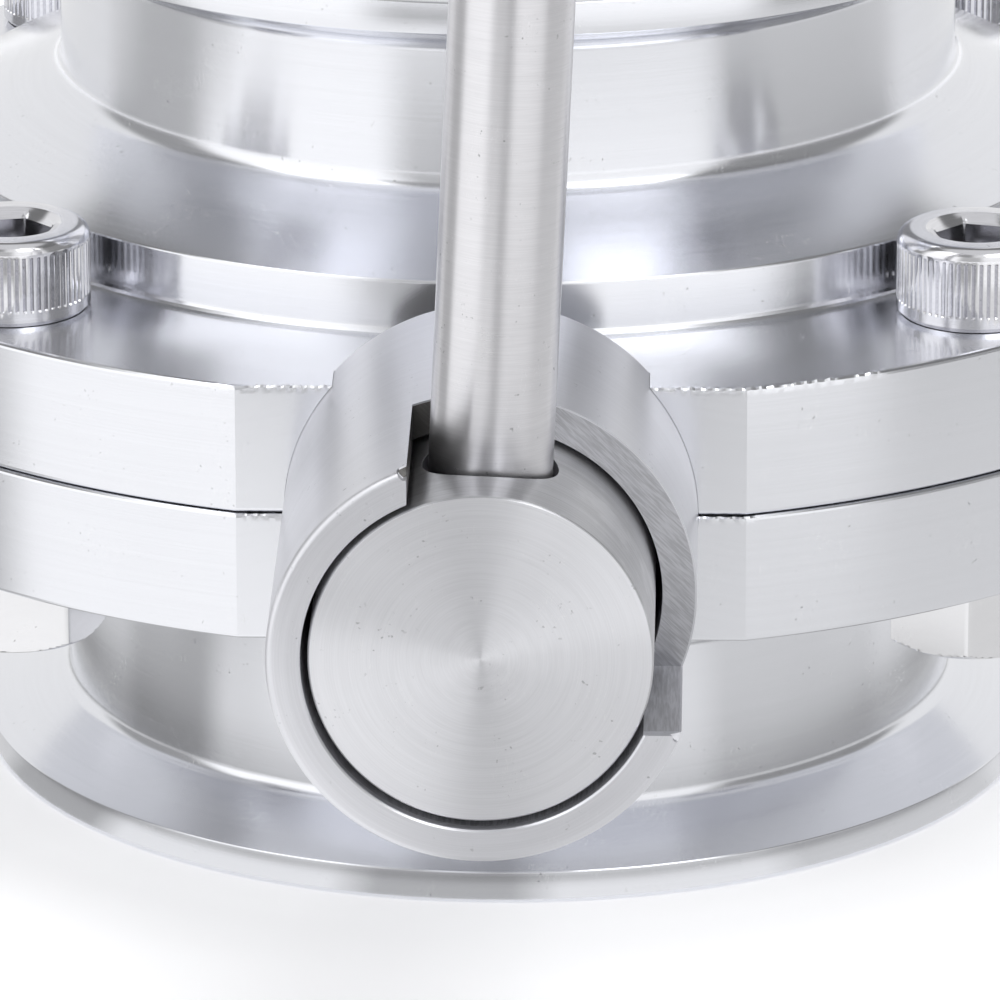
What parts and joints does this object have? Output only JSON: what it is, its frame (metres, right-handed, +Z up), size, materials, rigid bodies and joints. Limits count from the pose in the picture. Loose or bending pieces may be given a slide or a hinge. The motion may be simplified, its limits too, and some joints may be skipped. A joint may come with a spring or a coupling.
{
  "type": "butterfly valve",
  "caption": "Sanitary butterfly valve in bright stainless steel: bolted two-half body with clamp ferrules, slotted round handle housing and an upright bar handle that turns a disc.",
  "frame": {"origin": "bottom centre of the whole valve as pictured, handle up, on the plane of the lower ferrule face", "axes": "+Z up along the pipe axis, which stands 15.45 mm behind the origin; the handle stem axis runs along Y, and the handle side faces -Y; +X to the right seen from the handle"},
  "size_m": [0.1302, 0.1612, 0.1948],
  "materials": {
    "machined_steel": "fine machined, near mirror",
    "turned_steel": "turned and brushed satin",
    "polished_disc": "polished",
    "brushed_bar": "centreless ground bar with rings of fine scratches",
    "fastener_steel": "bright, knurled screw heads",
    "seat_rubber": "moulded elastomer, satin",
    "ptfe": "waxy white",
    "o_ring_rubber": "satin black"
  },
  "bodies": {
    "valve_body": {"cap_screw_1": "fastener_steel", "cap_screw_2": "fastener_steel", "cap_screw_3": "fastener_steel", "cap_screw_4": "fastener_steel", "drive_bush": "ptfe", "handle_housing": "turned_steel", "hex_nut_1": "fastener_steel", "hex_nut_2": "fastener_steel", "hex_nut_3": "fastener_steel", "hex_nut_4": "fastener_steel", "idler_bush": "ptfe", "lower_body": "machined_steel", "seat_ring": "seat_rubber", "stem_o_ring": "o_ring_rubber", "thrust_washer": "ptfe", "upper_body": "machined_steel"},
    "handle": {"valve_disc": "polished_disc", "drive_stem": "turned_steel", "idler_stem": "turned_steel", "handle_spool": "turned_steel", "handle_rod": "brushed_bar"}
  },
  "joints": [
    {"name": "handle_turn", "type": "hinge", "parent": "valve_body", "child": "handle", "pos_m": [0, 0.01545, 0.04], "axis": [0, 1, 0], "range_deg": [-2.6, 87.4]}
  ]
}
